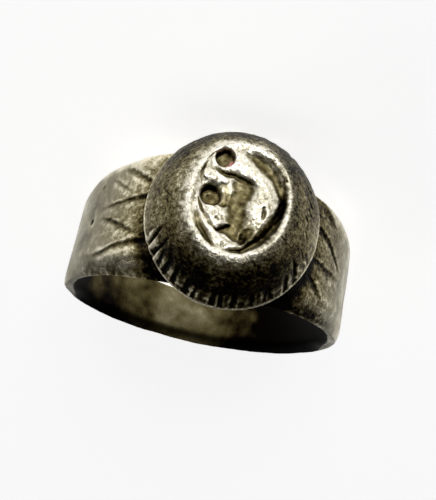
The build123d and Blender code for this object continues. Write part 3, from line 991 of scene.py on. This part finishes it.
# Dirt sits in the pits and makes them dark dots
pits = add_node(silver, "ShaderNodeTexVoronoi", inputs={
    "Vector": in_mm.outputs["Vector"], "Scale": PITS_PER_MM
})
in_pit = add_node(silver, "ShaderNodeMapRange", {"interpolation_type": "SMOOTHSTEP"}, {
    "Value": pits.outputs["Distance"], "From Min": 0.1, "From Max": 0.32, "To Min": 1, "To Max": 0
})
pit_here = add_node(silver, "ShaderNodeMath", {"operation": "MULTIPLY"}, {
    0: in_pit.outputs["Result"], 1: worn["pitted"]
})
# The grime with its painted shade and painted light, plus the dirt in the pits
dirt_and_painted_light = add_node(silver, "ShaderNodeMath", {"operation": "MULTIPLY_ADD"}, {
    0: pit_here.outputs[0], 1: PIT_DIRT, 2: specked.outputs[0]
})
colour = add_node(silver, "ShaderNodeValToRGB", inputs={"Fac": dirt_and_painted_light.outputs[0]})
ramp = colour.color_ramp
ramp.elements[0].color = linear(SHADES[0][1])
ramp.elements[1].color = linear(SHADES[-1][1])
for share, shade in SHADES[1:-1]:
    ramp.elements.new(share).color = linear(shade)

# The brown film lies thick over the tarnish and is rubbed thin on the bare silver
film_share = add_node(silver, "ShaderNodeMapRange", inputs={
    "Value": dirt_and_painted_light.outputs[0], "From Min": 0.25, "From Max": 0.7, "To Min": 0.45, "To Max": 1.25
})
film_here = add_node(silver, "ShaderNodeMath", {"operation": "MULTIPLY"}, {
    0: film_share.outputs["Result"], 1: worn["olive"]
})
filmed = add_node(silver, "ShaderNodeMix", {"data_type": "RGBA", "blend_type": "MULTIPLY"}, {
    "Factor": film_here.outputs[0], 6: colour.outputs["Color"], 7: linear(BROWN_FILM)
})

# The wax is dull and pink, and no metal
waxed = add_node(silver, "ShaderNodeMix", {"data_type": "RGBA"}, {
    "Factor": worn["wax"], 6: filmed.outputs[2], 7: linear(SEALING_WAX)
})
bare_metal = add_node(silver, "ShaderNodeMath", {"operation": "SUBTRACT"}, {0: 1.0, 1: worn["wax"]})

# Rubbed silver is smoother and glints, and the film of tarnish is dull
finish = add_node(silver, "ShaderNodeMapRange", inputs={
    "Value": dirt_and_painted_light.outputs[0], "To Min": 0.33, "To Max": 0.55
})

# Speckles, pits and grain break up the glints
grain = add_node(silver, "ShaderNodeTexNoise", inputs={
    "Vector": in_mm.outputs["Vector"], "Scale": GRAINS_PER_MM, "Detail": 2, "Roughness": 0.5
})
grain_depth = add_node(silver, "ShaderNodeMath", {"operation": "MULTIPLY_ADD"}, {
    0: grain.outputs["Fac"], 1: 0.3, 2: 0.5
})
pit_depth = add_node(silver, "ShaderNodeMath", {"operation": "MULTIPLY_ADD"}, {
    0: in_pit.outputs["Result"], 1: -0.5, 2: grain_depth.outputs[0]
})
relief = add_node(silver, "ShaderNodeMath", {"operation": "MULTIPLY_ADD"}, {
    0: speckle.outputs["Fac"], 1: 1.0, 2: pit_depth.outputs[0]
})
relief_here = add_node(silver, "ShaderNodeMath", {"operation": "MULTIPLY"}, {
    0: relief.outputs[0], 1: worn["pitted"]
})
bump = add_node(silver, "ShaderNodeBump", inputs={
    "Strength": 0.9, "Distance": RELIEF_METRES, "Height": relief_here.outputs[0]
})
for socket, value in (
    ("Base Color", waxed.outputs[2]), ("Metallic", bare_metal.outputs[0]),
    ("Roughness", finish.outputs["Result"]), ("Normal", bump.outputs["Normal"]),
):
    silver.node_tree.links.new(value, shader.inputs[socket])
mesh.materials.append(silver)
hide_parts("ring")
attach(silver_ring, "root")


# Floor, light and camera
# A pale paper table lit from low behind, a low soft box in front of the face and little from above, so that
# what faces down to the table is bright and what faces up is dark. The camera stands close to the face.
TABLE_SIZE = 4
PAPER_WHITE = (0.9, 0.9, 0.9, 1)
PAPER_GLOW = 0.8
bpy.ops.mesh.primitive_plane_add(size=TABLE_SIZE)
floor = bpy.context.object
floor.name = "floor"
paper = bpy.data.materials.new("white_paper")
paper.use_nodes = True
for socket, value in (
    ("Base Color", PAPER_WHITE), ("Roughness", 0.9), ("Emission Color", (1, 1, 1, 1)),
    ("Emission Strength", PAPER_GLOW),
):
    paper.node_tree.nodes["Principled BSDF"].inputs[socket].default_value = value
floor.data.materials.append(paper)

# The camera's turn about the ring, where the finger hole's middle stands in its view in mm, and its lens in
# pixels, all fitted to the ring's outline
VIEW_TILT = math.radians(23.05)
VIEW_YAW = math.radians(1.81)
VIEW_ROLL = math.radians(11.97)
VIEW_OFFSET = Vector((-0.77, -2.14, 65.0))
FOCAL_PIXELS = 858.97
IMAGE_LONG_SIDE = 500
SENSOR_WIDTH = 36

to_camera = Vector((
    -math.sin(VIEW_YAW) * math.cos(VIEW_TILT), -math.sin(VIEW_TILT), math.cos(VIEW_YAW) * math.cos(VIEW_TILT)
))
up = Vector((0, 1, 0))
up = (up - to_camera * up.dot(to_camera)).normalized()
right = up.cross(to_camera)
cos_roll, sin_roll = math.cos(VIEW_ROLL), math.sin(VIEW_ROLL)
right, up = cos_roll * right + sin_roll * up, -sin_roll * right + cos_roll * up
view = Matrix((right, up, -to_camera))
camera_place = -(view.transposed() @ VIEW_OFFSET)
facing = Matrix((right, up, to_camera)).transposed().to_4x4()
camera_data = bpy.data.cameras.new("camera")
camera_data.sensor_width = SENSOR_WIDTH
camera_data.lens = SENSOR_WIDTH * FOCAL_PIXELS / IMAGE_LONG_SIDE
camera_data.clip_start = 0.001
camera = bpy.data.objects.new("camera", camera_data)
camera.matrix_world = Matrix.Translation(ring_to_part @ camera_place) @ turn @ facing
bpy.context.scene.collection.objects.link(camera)
bpy.context.scene.camera = camera

# Each soft box's name, its place and its width and height in metres, and its power in watts
SOFT_BOXES = [
    ("front_box", (0, -0.59, 0.09), (0.30, 0.22), 1.6),
    ("back_box", (0.30, 0.43, 0.30), (0.3, 0.3), 0.2),
    ("top_box", (-0.1, 0.2, 0.7), (0.5, 0.5), 0.35),
]
AIM = Vector((0, 0, 0.004))
ROOM_DARK = (0.02, 0.02, 0.02, 1)
for name, place, size, power in SOFT_BOXES:
    lamp = bpy.data.lights.new(name, "AREA")
    lamp.shape = "RECTANGLE"
    lamp.size, lamp.size_y = size
    lamp.energy = power
    soft_box = bpy.data.objects.new(name, lamp)
    soft_box.location = place
    soft_box.rotation_euler = (AIM - Vector(place)).to_track_quat("-Z", "Y").to_euler()
    bpy.context.scene.collection.objects.link(soft_box)
world = bpy.data.worlds.new("room")
world.use_nodes = True
world.node_tree.nodes["Background"].inputs["Color"].default_value = ROOM_DARK
bpy.context.scene.world = world
bpy.context.scene.view_settings.view_transform = "Standard"
